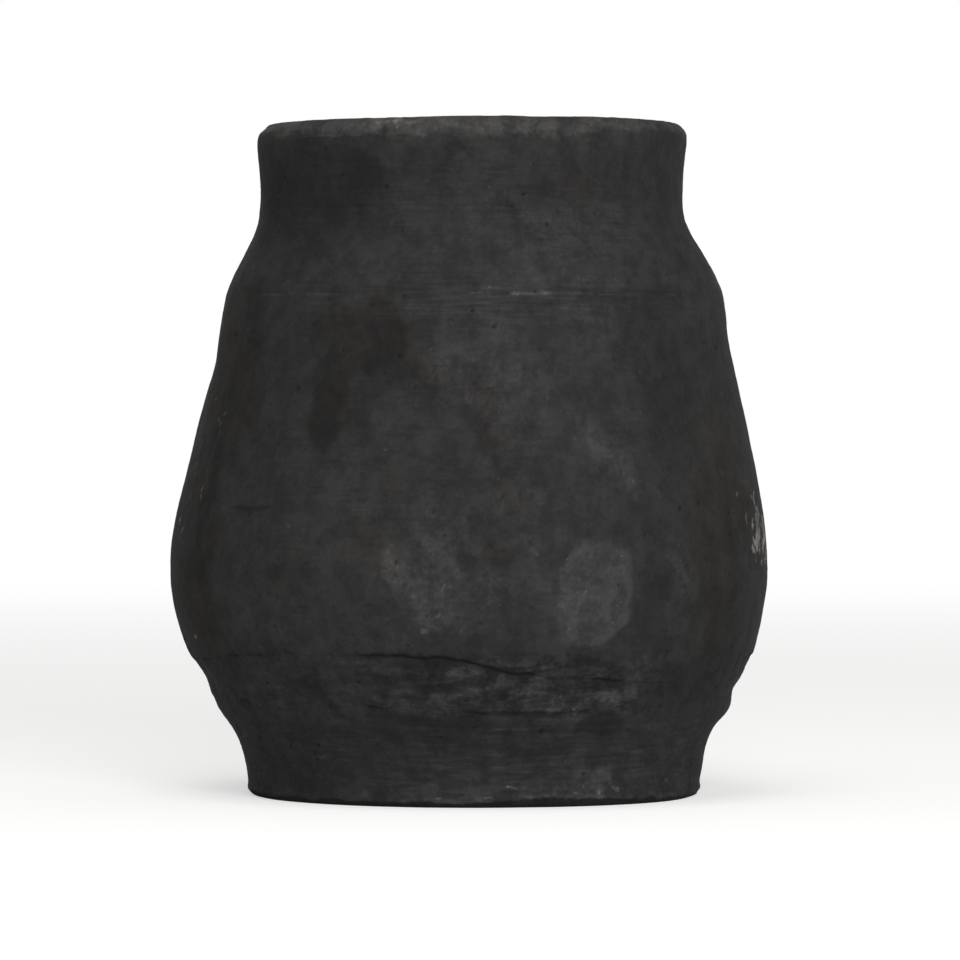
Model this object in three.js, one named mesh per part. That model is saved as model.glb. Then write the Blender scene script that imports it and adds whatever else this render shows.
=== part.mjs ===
// A hand-built black clay pot, as the sections of clay that the potter makes one by one and lutes
// together with slip: a base disc, the walls and coils above it, and the rounded rim.
// Millimetres, +Z up. The origin is on the pot's axis, in the flat underside that it stands on.

import * as THREE from "three";

// Driving dimensions

const wallThickness = 8; // of every wall, square to its surface
const floorThickness = 12; // of the base disc, in the middle of the pot
const lipThickness = 9.5; // of the rim, across its rounded top
const lipRise = 7; // how far the rounded top stands above the rim's straight side
const footRadius = 84.5; // outside, where the first wall stands on the base disc
const undersideTaper = 0.8; // how much narrower the flat underside is than that
const undersideRounding = 1; // of the base disc's lower edge
const bellyRadius = 111.1; // the pot's widest ring
const shoulderRadius = 92.3; // at the corner above the shoulder
const neckRadius = 79.6; // at the crease where the straight neck starts
const mouthRadius = 80.1; // of the rim's side
const jointGap = 0.35; // the slip between two sections, along the wall
const jointLap = 4; // how much higher each joint is inside the pot than outside

// Each section's own height, the outer radius at its top, how far its middle bulges out of the
// straight line between its two ends, and how far to +X its top leans off the axis, from the ground up.
const sections = [
  { name: "base_disc", height: 4.5, topRadius: footRadius, bulge: 0.1, lean: 2.1 },
  { name: "foot_wall", height: 32.5, topRadius: 97, bulge: -2.9, lean: 1.1 },
  { name: "seam_coil", height: 15, topRadius: 104.6, bulge: -0.2, lean: 0.5 },
  { name: "belly_wall", height: 43, topRadius: bellyRadius, bulge: 2.9, lean: -0.2 },
  { name: "body_wall", height: 67, topRadius: 96.6, bulge: 0.3, lean: 1.8 },
  { name: "shoulder_wall", height: 25, topRadius: shoulderRadius, bulge: 0.1, lean: 2.1 },
  { name: "neck_coil", height: 27, topRadius: neckRadius, bulge: 0.1, lean: 1.2 },
  { name: "collar_wall", height: 24, topRadius: 79.9, bulge: -0.8, lean: 0.9 },
  { name: "rim_coil", height: 5, topRadius: mouthRadius, bulge: 0.1, lean: 1 },
];

// How far the hand-turned walls stray from round, at two and at three lobes.
const twoLobes = 0.7;
const threeLobes = 0.5;

// How finely the solids are faceted
const facetsAround = 48;
const outerStep = 6.5; // the tallest facet on the outside
const innerStep = 9; // and on the inside
const lipFacets = 8;
const wallCheckStep = 1; // between the heights at which the base disc's middle is kept clear of the wall

// The outline, through each section's middle and top

const undersideRadius = footRadius - undersideTaper;
const stations = [{ height: 0, radius: undersideRadius, lean: sections[0].lean }];
for (const section of sections) {
  const below = stations.at(-1);
  section.bottom = below.height;
  section.top = below.height + section.height;
  stations.push({
    height: below.height + section.height / 2,
    radius: (below.radius + section.topRadius) / 2 + section.bulge,
    lean: (below.lean + section.lean) / 2,
  });
  stations.push({ height: section.top, radius: section.topRadius, lean: section.lean });
}
const [baseDisc, ...walls] = sections;
const rim = walls.at(-1);

const heights = stations.map((station) => station.height);
const radii = new THREE.CubicInterpolant(heights, stations.map((station) => station.radius), 1);
const leans = new THREE.CubicInterpolant(heights, stations.map((station) => station.lean), 1);
const radiusAt = (height) => radii.evaluate(height)[0];
const leanAt = (height) => leans.evaluate(THREE.MathUtils.clamp(height, 0, rim.top))[0];

// The wall's thickness, which grows to the lip's within the rim.
function thicknessAt(height) {
  const share = THREE.MathUtils.clamp((height - rim.bottom) / rim.height, 0, 1);
  return THREE.MathUtils.lerp(wallThickness, lipThickness, share);
}

// A point of the outline at a height, as (radius, height).
function outerPoint(height) {
  return new THREE.Vector2(radiusAt(height), height);
}

// The point of the inner face straight through the wall from the outline at a height.
function innerPoint(height) {
  const reach = 0.5;
  const below = Math.max(height - reach, 0);
  const above = Math.min(height + reach, rim.top);
  const along = outerPoint(above).sub(outerPoint(below)).normalize();
  const inward = new THREE.Vector2(-along.y, along.x);
  return outerPoint(height).addScaledVector(inward, thicknessAt(height));
}

// Points of one face between two heights, evenly spaced and at most a step apart.
function facePoints(pointAt, from, to, step) {
  const count = Math.max(1, Math.ceil(Math.abs(to - from) / step));
  return Array.from({ length: count + 1 }, (_, i) => pointAt(THREE.MathUtils.lerp(from, to, i / count)));
}

// The sections' closed profiles, each run up the outside and down the inside

// A wall between its two joints, whose faces slope up into the pot.
function wallProfile(wall) {
  const onDisc = wall === walls[0];
  const bottom = wall.bottom + jointGap / 2;
  const top = wall.top - jointGap / 2;
  const outside = facePoints(outerPoint, bottom, top, outerStep);
  const insideBottom = onDisc ? bottom : bottom + jointLap;
  const inside = facePoints(innerPoint, top + jointLap, insideBottom, innerStep);
  if (!onDisc) return [...outside, ...inside];
  const aboveSeat = inside.filter((point) => point.y > bottom);
  return [...outside, ...aboveSeat, new THREE.Vector2(innerPoint(bottom).x, bottom)];
}

// The rim: its side, the half-round lip, and the inner face down to the joint.
function rimProfile() {
  const bottom = rim.bottom + jointGap / 2;
  const outside = facePoints(outerPoint, bottom, rim.top, outerStep);
  const lipCentre = rim.topRadius - lipThickness / 2;
  const lip = Array.from({ length: lipFacets - 1 }, (_, i) => {
    const turn = (Math.PI * (i + 1)) / lipFacets;
    return new THREE.Vector2(
      lipCentre + (lipThickness / 2) * Math.cos(turn),
      rim.top + lipRise * Math.sin(turn),
    );
  });
  const lipFoot = new THREE.Vector2(rim.topRadius - lipThickness, rim.top);
  const inside = innerPoint(bottom + jointLap);
  return [...outside, ...lip, lipFoot, inside];
}

// The base disc: its edge carries the first wall, which stands round its raised middle.
function discProfile() {
  const seat = baseDisc.top - jointGap / 2;
  const wallsAround = facePoints(innerPoint, baseDisc.top, floorThickness + wallThickness, wallCheckStep);
  const middleRadius = Math.min(...wallsAround.map((point) => point.x)) - jointGap;
  return [
    new THREE.Vector2(0, 0),
    new THREE.Vector2(undersideRadius - undersideRounding, 0),
    outerPoint(undersideRounding),
    outerPoint(seat),
    new THREE.Vector2(middleRadius, seat),
    new THREE.Vector2(middleRadius, floorThickness),
    new THREE.Vector2(0, floorThickness),
  ];
}

// A solid turned from its profile, then bent to the pot's hand-made shape.
function turned(profile, closed) {
  const points = closed ? [...profile, profile[0].clone()] : profile;
  const geometry = new THREE.LatheGeometry(points, facetsAround);
  geometry.rotateX(Math.PI / 2);
  const position = geometry.getAttribute("position");
  for (let i = 0; i < position.count; i += 1) {
    const x = position.getX(i);
    const y = position.getY(i);
    const height = position.getZ(i);
    const radius = Math.hypot(x, y);
    const turn = Math.atan2(y, x);
    const stray = twoLobes * Math.sin(2 * turn) + threeLobes * Math.sin(3 * turn);
    const swell = 1 + (stray * Math.min(radius / undersideRadius, 1)) / Math.max(radius, 1);
    position.setXY(i, x * swell + leanAt(height), y * swell);
  }
  geometry.computeVertexNormals();
  return geometry;
}

const blackClay = new THREE.MeshStandardMaterial({ color: 0x333332, roughness: 0.72, metalness: 0 });
const smokedBase = new THREE.MeshStandardMaterial({ color: 0x292929, roughness: 0.85, metalness: 0 });
const rubbedRim = new THREE.MeshStandardMaterial({ color: 0x3c3a37, roughness: 0.6, metalness: 0 });

const pot = new THREE.Group();
pot.name = "clay_pot";

function addSection(name, geometry, material) {
  const mesh = new THREE.Mesh(geometry, material);
  mesh.name = name;
  pot.add(mesh);
}

addSection(baseDisc.name, turned(discProfile(), false), smokedBase);
for (const wall of walls.slice(0, -1)) {
  addSection(wall.name, turned(wallProfile(wall), true), blackClay);
}
addSection(rim.name, turned(rimProfile(), true), rubbedRim);

export default pot;
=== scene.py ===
# A hand-built pot of black clay: nine sections of clay, luted together, scraped and smoke-fired.
# Each section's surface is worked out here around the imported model, whose outline it reads.
# Lengths are millimetres until a mesh is made. A turn is in degrees round the pot from the front,
# positive to the right. A way is the length along the pot's section from the middle of the underside,
# out to the edge, up the outside, over the lip and down the inside to the middle of the floor.
import itertools
from math import cos, radians, sin

import bpy
import numpy as np
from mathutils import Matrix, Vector


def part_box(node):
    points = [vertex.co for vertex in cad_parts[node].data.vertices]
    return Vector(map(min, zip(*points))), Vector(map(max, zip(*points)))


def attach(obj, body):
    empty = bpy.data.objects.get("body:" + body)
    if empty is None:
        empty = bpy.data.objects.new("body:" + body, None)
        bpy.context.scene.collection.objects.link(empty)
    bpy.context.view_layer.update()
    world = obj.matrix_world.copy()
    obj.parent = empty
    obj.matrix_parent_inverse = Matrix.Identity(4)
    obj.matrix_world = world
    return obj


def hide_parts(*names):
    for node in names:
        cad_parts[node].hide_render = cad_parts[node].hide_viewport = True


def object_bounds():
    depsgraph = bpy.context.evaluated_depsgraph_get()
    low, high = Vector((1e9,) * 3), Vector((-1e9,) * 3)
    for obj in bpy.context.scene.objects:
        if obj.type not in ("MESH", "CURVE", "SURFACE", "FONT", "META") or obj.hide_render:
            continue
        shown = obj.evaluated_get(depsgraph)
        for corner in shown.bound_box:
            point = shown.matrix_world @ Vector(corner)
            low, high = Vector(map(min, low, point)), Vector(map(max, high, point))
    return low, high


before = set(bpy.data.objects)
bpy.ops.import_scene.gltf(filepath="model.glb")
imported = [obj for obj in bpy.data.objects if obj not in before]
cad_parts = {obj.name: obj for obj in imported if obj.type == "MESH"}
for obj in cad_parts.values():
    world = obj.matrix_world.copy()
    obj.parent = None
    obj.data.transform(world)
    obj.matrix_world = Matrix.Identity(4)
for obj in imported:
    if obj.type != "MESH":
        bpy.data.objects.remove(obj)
frameBox = [list(corner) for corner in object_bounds()]
metres = 0.001
print("frame loaded:", len(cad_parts), "sections")


# Camera, floor and light

viewpoint = {
    "distance": 2427, "height": 156.1, "aside": 3.75, "pitch": 0.926, "lens": 244.2, "farthest": 60000,
}
studio = {"backdrop": 1.0, "ambient": 0.33}
white = (1, 1, 1, 1)
floorLook = {
    "radius": 9000, "corners": 96, "color": (0.62, 0.615, 0.605), "roughness": 0.9, "specular": 0.1,
    "glow": 0.52, "fadeFrom": 450, "fadeTo": 2600,
}
softboxes = {
    "key": {"turn": 12, "lift": 12, "distance": 2600, "size": 1500, "watts": 62},
    "top": {"turn": -10, "lift": 70, "distance": 2200, "size": 1300, "watts": 13},
}


def addObject(name, data):
    made = bpy.data.objects.new(name, data)
    bpy.context.scene.collection.objects.link(made)
    return made


def node(tree, kind, inputs=None, **settings):
    # a shader node with its settings, and its inputs either linked or set
    made = tree.nodes.new("ShaderNode" + kind)
    for name, value in settings.items():
        setattr(made, name, value)
    for name, value in (inputs or {}).items():
        if isinstance(value, bpy.types.NodeSocket):
            tree.links.new(value, made.inputs[name])
        else:
            made.inputs[name].default_value = value
    return made


def maths(tree, operation, first, second=0.0, clamped=False):
    return node(tree, "Math", {0: first, 1: second}, operation=operation, use_clamp=clamped).outputs[0]


def plus(tree, first, second):
    return maths(tree, "ADD", first, second)


def minus(tree, first, second):
    return maths(tree, "SUBTRACT", first, second)


def times(tree, first, second, clamped=False):
    return maths(tree, "MULTIPLY", first, second, clamped)


def ramped(tree, value, low, high, to=(0.0, 1.0)):
    inputs = {"Value": value, "From Min": low, "From Max": high, "To Min": to[0], "To Max": to[1]}
    return node(tree, "MapRange", inputs, interpolation_type="SMOOTHSTEP").outputs["Result"]


def makeCamera():
    data = bpy.data.cameras.new("viewpoint")
    data.lens = viewpoint["lens"]
    data.clip_end = viewpoint["farthest"] * metres
    camera = addObject("viewpoint", data)
    place = np.array([viewpoint["aside"], -viewpoint["distance"], viewpoint["height"]])
    camera.location = place * metres
    camera.rotation_euler = (radians(90 - viewpoint["pitch"]), 0, 0)
    bpy.context.scene.camera = camera


def makeLights():
    # each softbox stands at a turn and a lift above the floor, and looks at the middle of the pot
    aim = Vector((0, 0, (frameBox[0][2] + frameBox[1][2]) / 2))
    for name, box in softboxes.items():
        data = bpy.data.lights.new(name, "AREA")
        data.shape = "DISK"
        data.size = box["size"] * metres
        data.energy = box["watts"]
        light = addObject(name, data)
        turn, lift = radians(box["turn"]), radians(box["lift"])
        away = Vector((sin(turn) * cos(lift), -cos(turn) * cos(lift), sin(lift)))
        light.location = aim + away * box["distance"] * metres
        light.rotation_euler = away.to_track_quat("Z", "Y").to_euler()


def makeWorld():
    world = bpy.data.worlds.new("studio")
    world.use_nodes = True
    tree = world.node_tree
    tree.nodes.clear()
    onCamera = node(tree, "LightPath").outputs["Is Camera Ray"]
    lit, seen = (
        node(tree, "Background", {"Color": white, "Strength": studio[strength]}).outputs[0]
        for strength in ("ambient", "backdrop")
    )
    mix = node(tree, "MixShader", {0: onCamera, 1: lit, 2: seen})
    node(tree, "OutputWorld", {"Surface": mix.outputs[0]})
    bpy.context.scene.world = world
    bpy.context.scene.view_settings.view_transform = "Standard"


def makeFloor():
    # a disc, as one fan of triangles round its middle. Away from the pot it turns into the backdrop,
    # for the camera alone, so that no horizon shows and the pot gets no light from it
    turns = np.linspace(0, 2 * np.pi, floorLook["corners"], endpoint=False)
    edge = np.stack([np.cos(turns), np.sin(turns), 0 * turns], 1) * floorLook["radius"] * metres
    corners = np.concatenate([edge, np.zeros((1, 3))])
    fan = [(i, (i + 1) % len(turns), len(turns)) for i in range(len(turns))]
    mesh = bpy.data.meshes.new("floor")
    mesh.from_pydata(corners.tolist(), [], fan)
    floor = addObject("floor", mesh)
    material = bpy.data.materials.new("pale_floor")
    material.use_nodes = True
    tree = material.node_tree
    shader, out = tree.nodes["Principled BSDF"], tree.nodes["Material Output"]
    shader.inputs["Base Color"].default_value = (*floorLook["color"], 1)
    shader.inputs["Roughness"].default_value = floorLook["roughness"]
    shader.inputs["Specular IOR Level"].default_value = floorLook["specular"]
    shader.inputs["Emission Color"].default_value = white
    onCamera = node(tree, "LightPath").outputs["Is Camera Ray"]
    tree.links.new(times(tree, onCamera, floorLook["glow"]), shader.inputs["Emission Strength"])
    place = node(tree, "TexCoord").outputs["Object"]
    length = node(tree, "VectorMath", {0: place}, operation="LENGTH").outputs["Value"]
    far = ramped(tree, length, floorLook["fadeFrom"] * metres, floorLook["fadeTo"] * metres)
    glare = node(tree, "Emission", {"Strength": studio["backdrop"]}).outputs[0]
    mix = node(tree, "MixShader", {0: times(tree, far, onCamera), 1: shader.outputs[0], 2: glare})
    tree.links.new(mix.outputs[0], out.inputs["Surface"])
    mesh.materials.append(material)


makeCamera()
makeLights()
makeWorld()
makeFloor()
print("camera, lights and floor made")


# Noise and small helpers, all on whole arrays


def blend(low, high, value):
    # 0 below low, 1 above high, and the smooth 3t^2 - 2t^3 between
    t = np.clip((value - low) / (high - low), 0, 1)
    return t * t * (3 - 2 * t)


def hump(distance, width):
    # 1 at no distance, falling off as exp(-(distance / width)^2)
    return np.exp(-((distance / width) ** 2))


shuffled = np.random.default_rng(7).permutation(256).astype(np.int32)
slopes = np.random.default_rng(11).normal(size=(3, 256)).astype(np.float32)
slopes /= np.linalg.norm(slopes, axis=0)


def hashed(*cells):
    # a steady number from 0 to 255 for each cell, by stepping through the shuffled list
    number = np.zeros_like(cells[0])
    for cell in cells:
        number = shuffled[(number + cell) & 255]
    return number


def noise(points, size, seed=0):
    # gradient noise, about -1 to 1: each corner of a cubic lattice holds a slope, and the slopes'
    # heights are blended across the cell by 6t^5 - 15t^4 + 10t^3. size may be one length or three
    at = (points / np.asarray(size, float) + 19.7 * seed).astype(np.float32)
    cell = np.floor(at).astype(np.int32)
    part = np.moveaxis(at - cell, -1, 0)
    fade = part**3 * (part * (part * 6 - 15) + 10)
    cell = np.moveaxis(cell, -1, 0)
    total = np.zeros(points.shape[:-1], np.float32)
    for i, j, k in itertools.product((0, 1), repeat=3):
        slope = hashed(cell[0] + i, cell[1] + j, cell[2] + k)
        climb = slopes[0, slope] * (part[0] - i)
        climb += slopes[1, slope] * (part[1] - j)
        climb += slopes[2, slope] * (part[2] - k)
        climb *= fade[0] if i else 1 - fade[0]
        climb *= fade[1] if j else 1 - fade[1]
        climb *= fade[2] if k else 1 - fade[2]
        total += climb
    return total * 1.6


def layered(points, size, octaves, seed=0):
    # noise at a size, its half, its quarter and so on, each with 0.55 of the last one's share
    size = np.asarray(size, float)
    return sum(0.55**n * noise(points, size / 2**n, seed + n) for n in range(octaves))


def scattered(turn, way, cell, seed):
    # each cell of a grid on the skin holds one spot at a hashed place. Gives each point's distance
    # to its nearest spot, in millimetres, and that spot's own two numbers from 0 to 1
    around = max(int(round(600 / cell)), 4)
    u = (turn / 360 % 1) * around
    v = way / cell
    nearest = np.full(u.shape, 1e9)
    first, second = np.zeros(u.shape), np.zeros(u.shape)
    for du, dv in itertools.product((-1, 0, 1), repeat=2):
        cu = np.floor(u).astype(np.int32) + du
        cv = np.floor(v).astype(np.int32) + dv
        keys = [hashed(cu % around, cv, np.full_like(cu, seed + k)) / 255 for k in range(4)]
        across = (u - cu - keys[0]) * cell
        along = (v - cv - keys[1]) * cell
        distance = np.hypot(across, along)
        nearer = distance < nearest
        nearest = np.where(nearer, distance, nearest)
        first = np.where(nearer, keys[2], first)
        second = np.where(nearer, keys[3], second)
    return nearest, first, second


def throughKnots(knots, values, at):
    # a cubic curve through the values at the knots (Hermite pieces, whose slopes are those of the
    # parabola through each knot and its two neighbours)
    knots, values = np.asarray(knots, float), np.asarray(values, float)
    if values.ndim == 1:
        return throughKnots(knots, values[:, None], at)[..., 0]
    gap = np.diff(knots)[:, None]
    rise = np.diff(values, axis=0) / gap
    inner = (rise[:-1] * gap[1:] + rise[1:] * gap[:-1]) / (gap[:-1] + gap[1:])
    slope = np.concatenate([rise[:1], inner, rise[-1:]])
    k = np.clip(np.searchsorted(knots, at) - 1, 0, len(knots) - 2)
    g = gap[k]
    t = ((at - knots[k]) / gap[k, 0])[..., None]
    return (
        values[k] * (2 * t**3 - 3 * t**2 + 1)
        + slope[k] * g * (t**3 - 2 * t**2 + t)
        + values[k + 1] * (3 * t**2 - 2 * t**3)
        + slope[k + 1] * g * (t**3 - t**2)
    )


def roundThePot(marks, turn):
    # a smooth closed curve of turn through given (turn, value) marks
    turns, values = np.array(marks, float).T
    knots = np.concatenate([turns - 360, turns, turns + 360])
    return throughKnots(knots, np.tile(values, 3), (turn + 180) % 360 - 180)


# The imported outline

outline = {"facets": 48, "lobes": 5, "closeRings": 1.0, "wallReach": 7, "wallLeast": 5, "step": 0.25}
insideFloor = {"height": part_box("base_disc")[1].z / metres, "fillet": 9.6, "seatRadius": 76}


def readRings():
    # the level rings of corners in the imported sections: (height, middle x, radius at each facet)
    rings = []
    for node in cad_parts.values():
        corners = np.empty(len(node.data.vertices) * 3)
        node.data.vertices.foreach_get("co", corners)
        corners = np.unique((corners.reshape(-1, 3) / metres).round(2), axis=0)
        for height in np.unique(corners[:, 2]):
            level = corners[corners[:, 2] == height]
            middle = level[:, 0].mean()
            radius = np.hypot(level[:, 0] - middle, level[:, 1])
            level, radius = level[radius > 1], radius[radius > 1]
            if len(level) % outline["facets"]:
                continue
            facet = np.arctan2(level[:, 1], level[:, 0] - middle) / (2 * np.pi) * outline["facets"]
            order = np.lexsort((radius, facet.round().astype(int) % outline["facets"]))
            for radii in radius[order].reshape(outline["facets"], -1).T:
                rings.append((height, middle, radii))
    return rings


def asKnot(height, middle, radii):
    # a ring as one row: mean radius, height, middle x, and the cosine and sine share of each lobe
    share = np.fft.rfft(radii)[1 : outline["lobes"] + 1] / len(radii) * 2
    return np.array([radii.mean(), height, middle, *share.real, *-share.imag])


def joinRings(rings, upwards):
    # rings in order of height, with two that nearly touch at a joint made one
    knots = []
    for ring in sorted(rings, key=lambda ring: ring[0], reverse=not upwards):
        knot = asKnot(*ring)
        if knots and np.hypot(*(knot - knots[-1])[:2]) < outline["closeRings"]:
            knots[-1] = (knots[-1] + knot) / 2
        else:
            knots.append(knot)
    return knots


def makeOutline():
    # the whole section as a table by way: the columns of asKnot and then the skin's outward direction
    rings = readRings()
    means = np.array([(ring[0], ring[2].mean()) for ring in rings])
    near = np.abs(means[:, None, 0] - means[None, :, 0]) < outline["wallReach"]
    inside = (near & (means[None, :, 1] > means[:, None, 1] + outline["wallLeast"])).any(1)
    outer = joinRings([ring for ring, within in zip(rings, inside) if not within], True)
    floorEnd = insideFloor["height"] + insideFloor["fillet"]
    inner = [ring for ring, within in zip(rings, inside) if within and ring[0] > floorEnd - 1]
    inner = joinRings(inner, False)

    def shrunk(knot, share, height):
        made = knot * share
        made[1:3] = height, knot[2]
        return made

    bottom = [shrunk(outer[0], share, 0) for share in (0, 0.25, 0.5, 0.75, 0.93, 0.985)]
    wallFoot = inner[-1]
    corner = wallFoot.copy()
    corner[0] -= 0.25 * (wallFoot[1] - insideFloor["height"])
    corner[1] = insideFloor["height"]
    toe = shrunk(corner, 1 - insideFloor["fillet"] / corner[0], insideFloor["height"])
    arc = [wallFoot * (1 - t) ** 2 + corner * 2 * t * (1 - t) + toe * t * t for t in (0.25, 0.5, 0.75)]
    middle = [shrunk(toe, share, insideFloor["height"]) for share in (1, 0.9, 0.66, 0.33, 0)]
    knots = np.array(bottom + outer + inner + arc + middle)
    chords = np.hypot(*np.diff(knots[:, :2], axis=0).T)
    knotWays = np.concatenate([[0], np.cumsum(chords)])
    ways = np.arange(0, knotWays[-1], outline["step"])
    table = throughKnots(knotWays, knots, ways)
    table[:, 1] = np.maximum(table[:, 1], 0)
    along = np.gradient(table[:, :2], axis=0)
    along /= np.hypot(*along.T)[:, None]
    table = np.column_stack([table, along[:, 1], -along[:, 0]])
    return ways, table


ways, table = makeOutline()
wayEdge = ways[np.argmax(table[:, 1] > 0.02)]
wayLip = ways[np.argmax(table[:, 1])]
wayFloor = ways[np.argmax((ways > wayLip) & (table[:, 1] < insideFloor["height"] + 0.05))]
print(f"outline read: edge {wayEdge:.0f}, lip {wayLip:.0f}, floor {wayFloor:.0f}, end {ways[-1]:.0f}")


def wayOutside(height):
    side = (ways >= wayEdge) & (ways <= wayLip)
    return np.interp(height, table[side, 1], ways[side])


def wayInside(height):
    side = (ways >= wayLip) & (ways <= wayFloor)
    return np.interp(height, table[side, 1][::-1], ways[side][::-1])


def column(way, index):
    return np.interp(way, ways, table[:, index])


def onSkin(turn, way, lift=0):
    # the point at a turn and way, lifted off the plain skin: radius = mean + the sum over the lobes k
    # of (c cos ka + s sin ka), where a is the turn from +X, and the lift goes along the outward way
    angle = np.radians(turn - 90)
    radius = column(way, 0)
    for lobe in range(1, outline["lobes"] + 1):
        cosine, sine = column(way, 2 + lobe), column(way, 2 + outline["lobes"] + lobe)
        radius = radius + cosine * np.cos(lobe * angle) + sine * np.sin(lobe * angle)
    out, up = column(way, -2), column(way, -1)
    radius = radius + lift * out
    height = column(way, 1) + lift * up
    return np.stack([radius * np.cos(angle) + column(way, 2), radius * np.sin(angle), height], -1)


# The clay's relief, in millimetres out of the plain skin. Every grid has one column for each turn here

columns = 960
turnsRound = np.arange(columns) / columns * 360 - 180
angles = np.radians(turnsRound)
ring = 100 * np.stack([np.sin(angles), -np.cos(angles), 0 * angles], -1)

handShape = {"amount": 0.30, "size": 58, "ripple": 0.15, "rippleSize": (30, 30, 12), "bellyDrop": 0.5}
dragLines = {"amount": 0.085, "size": (34, 34, 1.5)}
grain = {"amount": 0.05, "size": 2.2}
swells = [  # turn, height, half width, half height and rise, which is negative for a hollow
    (-86, 76, 60, 22, 0.6), (-86, 44, 32, 6, -1.3), (-86, 31, 34, 5, 0.6), (-84, 247.5, 34, 2.6, -0.8),
    (-86, 206, 50, 9, -0.55), (-86, 159, 40, 8, -0.6), (-86, 216, 50, 6, 0.4), (86, 222, 60, 26, -0.6),
    (86, 70, 32, 11, -0.6), (86, 38.5, 30, 3, -1), (86, 4, 26, 5, -1), (86, 16, 30, 8, -0.5),
    (84, 32, 30, 4.4, 1.5), (82, 246, 60, 2.8, 0.3), (86, 123, 50, 15, 0.3), (86, 170, 42, 14, -0.75),
    (48, 2, 40, 4, 1.9), (-60, 2.5, 40, 3, 0.5), (8, 130, 34, 22, 0.35), (-34, 120, 26, 24, -0.4),
    (40, 84, 26, 20, -0.35), (130, 110, 40, 30, 0.5), (-140, 90, 36, 26, 0.45),
    (175, 150, 40, 26, -0.45), (-4.8, 238.4, 2.4, 1.5, -0.55), (-2.6, 236.6, 1.4, 1.1, -0.5),
    (-6.9, 236.9, 1.1, 0.9, -0.45), (-5.2, 240.7, 2, 0.9, -0.3), (-24, 244.5, 1.6, 3.4, -0.4),
    (24, 243.5, 1.4, 3, -0.35), (62, 247, 3.2, 1.6, -0.7), (-118, 248, 4, 1.8, -0.9),
    (151, 247.4, 3, 1.5, -0.7), (14.5, 6.5, 2.2, 2, -0.7), (-71, 4.5, 3.4, 2.2, -0.9),
    (105, 5, 3.2, 2.6, -0.9),
]
lipWave = [
    (-170, -0.6), (-120, -0.8), (-88, -1.1), (-62, -1), (-40, -0.85), (-20, -0.75), (-6, -0.42),
    (8, -0.35), (20, -0.5), (36, -0.15), (52, -0.2), (75, -0.4), (100, -0.35), (140, -0.7),
]
scoredLines = [  # height, from turn, to turn, depth, half width
    (185.3, -6, 64, 0.26, 0.5), (185.5, -62, 66, 0.34, 0.55), (182, 6, 50, 0.22, 0.45),
    (179.3, -12, 34, 0.2, 0.45), (174, -30, 22, 0.14, 0.5), (188.6, -55, -8, 0.14, 0.5),
    (217, -75, 20, 0.3, 1.1), (213.5, -5, 95, 0.28, 0.9), (233, -50, 40, 0.16, 0.6),
    (203, -30, 8, 0.1, 0.6), (29.5, -20, 75, 0.22, 0.5), (33, -6, 42, 0.3, 0.55),
    (24, -38, 8, 0.14, 0.5), (186.5, 100, 250, 0.28, 0.6), (121, 118, 205, 0.16, 0.55),
    (31, 130, 235, 0.24, 0.55),
]
seam = {
    "line": [
        (-160, 50), (-120, 53.5), (-85, 50.5), (-58, 54), (-36, 56), (-22, 55.6), (-12, 55.2), (-4, 54),
        (3, 51.4), (8, 49.4), (13, 48.4), (22, 47.4), (32, 46), (40, 44.6), (58, 48), (80, 52),
        (112, 49), (140, 52.5),
    ],
    "open": [
        (-165, 0.3), (-140, 0.8), (-110, 0.15), (-70, 0.15), (-48, 0.3), (-34, 0.12), (-24, 0.25),
        (-15, 0.55), (-8, 0.8), (0, 1), (9, 0.9), (14, 0.3), (21, 0.1), (27, 0.4), (36, 0.45),
        (41, 0.15), (58, 0.1), (80, 0.15), (104, 0.75), (126, 0.2), (150, 0.7),
    ],
    "noise": 21, "wander": 1.1, "crack": 0.95, "crackWidth": 0.7, "lip": 0.7, "hollow": 1.1,
    "hollowWidth": 4.6,
}
fold = {
    "line": [
        (-150, 38), (-110, 36), (-70, 37.5), (-30, 36.4), (-8, 36), (6, 35.2), (18, 34.8), (32, 35.4),
        (52, 37), (90, 36), (135, 38.5),
    ],
    "open": [
        (-150, 0.5), (-120, 0.1), (-60, 0.15), (-38, 0.1), (-20, 0.25), (-8, 0.15), (2, 0.45),
        (10, 0.4), (15, 0.15), (21, 0.35), (29, 0.3), (38, 0.15), (60, 0.1), (88, 0.15), (112, 0.1),
        (140, 0.6),
    ],
    "noise": 26, "wander": 1, "crack": 0.6, "crackWidth": 0.55, "lip": 0.5, "hollow": 0.55,
    "hollowWidth": 3,
}
tornFoot = {
    "line": [
        (-150, 2), (-40, 2), (4, 2.2), (14, 3), (33, 3.1), (50, 2.2), (120, 2),
    ],
    "wander": 0.9, "undercut": 0.32, "burr": 0.34, "burrHeight": 1.6,
}
smear = {"from": 34.5, "to": 56, "fade": 4, "rough": 0.50, "size": (9, 9, 4.5)}
smearAround = [
    (-150, 0.8), (-110, 0.6), (-75, 0.35), (-55, 0.5), (-38, 0.6), (-18, 0.62), (-9, 0.75), (-2, 1),
    (20, 0.95), (36, 0.8), (44, 0.35), (58, 0.2), (80, 0.3), (120, 0.8),
]
ringLump = {"turn": -7.5, "height": 63.3, "radius": 2.7, "rise": 0.4}


def across(turn, spot, place):
    # the length round the pot from a spot's turn to each point
    return np.radians((turn - spot + 180) % 360 - 180) * np.hypot(place[..., 0], place[..., 1])


def aroundNoise(size, octaves, seed):
    # layered noise that depends on the turn alone
    return layered(ring, size, octaves, seed)


def crackLine(crack):
    return roundThePot(crack["line"], turnsRound) + crack["wander"] * aroundNoise(15, 4, crack["noise"])


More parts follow.
